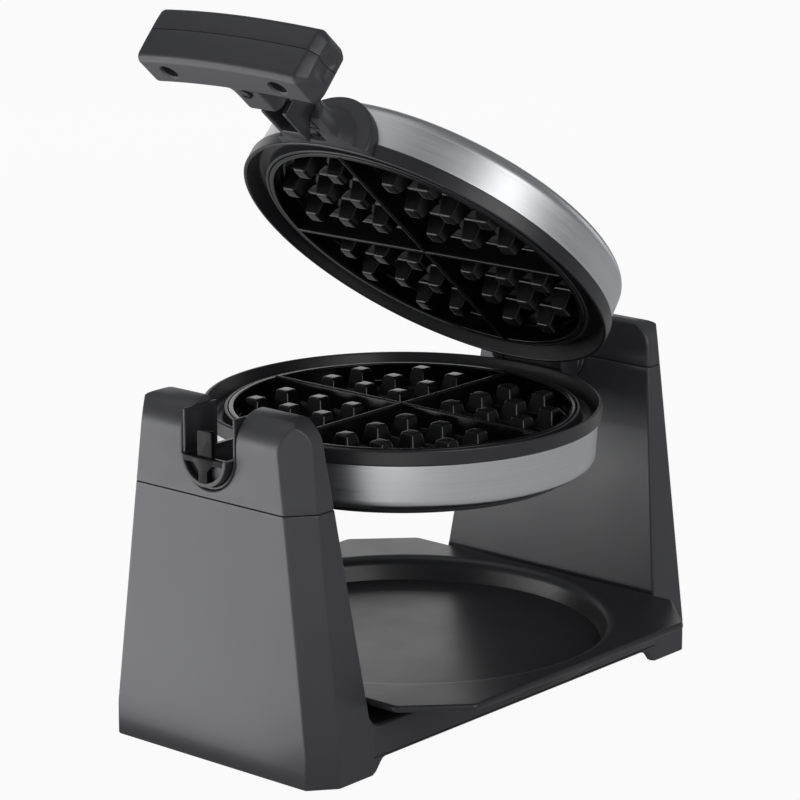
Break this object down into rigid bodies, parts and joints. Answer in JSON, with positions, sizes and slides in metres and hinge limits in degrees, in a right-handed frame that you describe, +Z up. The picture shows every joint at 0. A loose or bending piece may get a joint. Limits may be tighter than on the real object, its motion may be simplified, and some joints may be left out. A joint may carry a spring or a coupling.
{
  "type": "belgian waffle maker",
  "caption": "Turn-over waffle maker: a round hinged iron with deep square cells, held level between two towers over a loose drip tray, with a cross-bar handle on its lid.",
  "frame": {"origin": "on the table, under the middle of the object's bounding box", "axes": "+Z up, +X from the handle side to the hinge tower, -Y the front"},
  "size_m": [0.3145, 0.238, 0.3768],
  "materials": {
    "housing_plastic": "satin moulded black",
    "rim_plastic": "satin moulded black",
    "grip_plastic": "satin moulded black",
    "tray_paint": "semi-matt black coating",
    "non_stick": "glossy black non-stick coating",
    "brushed_steel": "brushed round the circumference",
    "plated_steel": "plain zinc plated",
    "heater_steel": "dull oxidised steel",
    "foot_rubber": "matt black rubber",
    "block_white": "matt ceramic white",
    "lamp_amber": "clear moulded amber",
    "lamp_green": "clear moulded green"
  },
  "bodies": {
    "stand": {"base_housing": "housing_plastic", "left_tower_cap": "housing_plastic", "right_tower_cap": "housing_plastic", "cradle_liner": "rim_plastic", "bottom_plate": "rim_plastic", "bottom_screw_1": "plated_steel", "bottom_screw_2": "plated_steel", "bottom_screw_3": "plated_steel", "bottom_screw_4": "plated_steel", "rubber_foot_1": "foot_rubber", "rubber_foot_2": "foot_rubber", "rubber_foot_3": "foot_rubber", "rubber_foot_4": "foot_rubber", "hub_bush": "plated_steel", "cord_inlet": "foot_rubber", "terminal_block": "block_white", "inner_lead": "foot_rubber"},
    "tray": {"drip_tray": "tray_paint"},
    "lower_iron": {"lower_rim": "rim_plastic", "lower_steel_cover": "brushed_steel", "lower_waffle_plate": "non_stick", "lower_heater": "heater_steel", "lower_heat_shield": "plated_steel", "lower_thermostat": "block_white", "lower_bottom_cap": "rim_plastic", "lower_collar": "rim_plastic", "hinge_yoke": "rim_plastic", "hinge_pin": "plated_steel", "turning_shaft": "plated_steel", "shaft_screw_1": "plated_steel", "shaft_screw_2": "plated_steel", "shaft_retainer": "plated_steel"},
    "lid": {"lid_rim": "rim_plastic", "lid_steel_cover": "brushed_steel", "lid_waffle_plate": "non_stick", "lid_heater": "heater_steel", "lid_heat_shield": "plated_steel", "lid_thermostat": "block_white", "lid_hinge_bracket": "rim_plastic", "lid_neck": "rim_plastic", "neck_screw": "plated_steel", "handle_stem": "rim_plastic", "grip_lower_shell": "grip_plastic", "grip_upper_shell": "grip_plastic", "grip_screw_1": "plated_steel", "grip_screw_2": "plated_steel", "socket_screw": "plated_steel", "lamp_power": "lamp_amber", "lamp_ready": "lamp_green"}
  },
  "joints": [
    {"name": "tray_slide", "type": "slide", "parent": "stand", "child": "tray", "axis": [0, -1, 0], "range_m": [0, 0.15]},
    {"name": "iron_turn", "type": "hinge", "parent": "stand", "child": "lower_iron", "pos_m": [0, 0, 0.161], "axis": [1, 0, 0], "range_deg": [0, 90]},
    {"name": "lid_hinge", "type": "hinge", "parent": "lower_iron", "child": "lid", "pos_m": [0.0985, 0, 0.1762], "axis": [0, 1, 0], "range_deg": [-41.5, 50]}
  ]
}
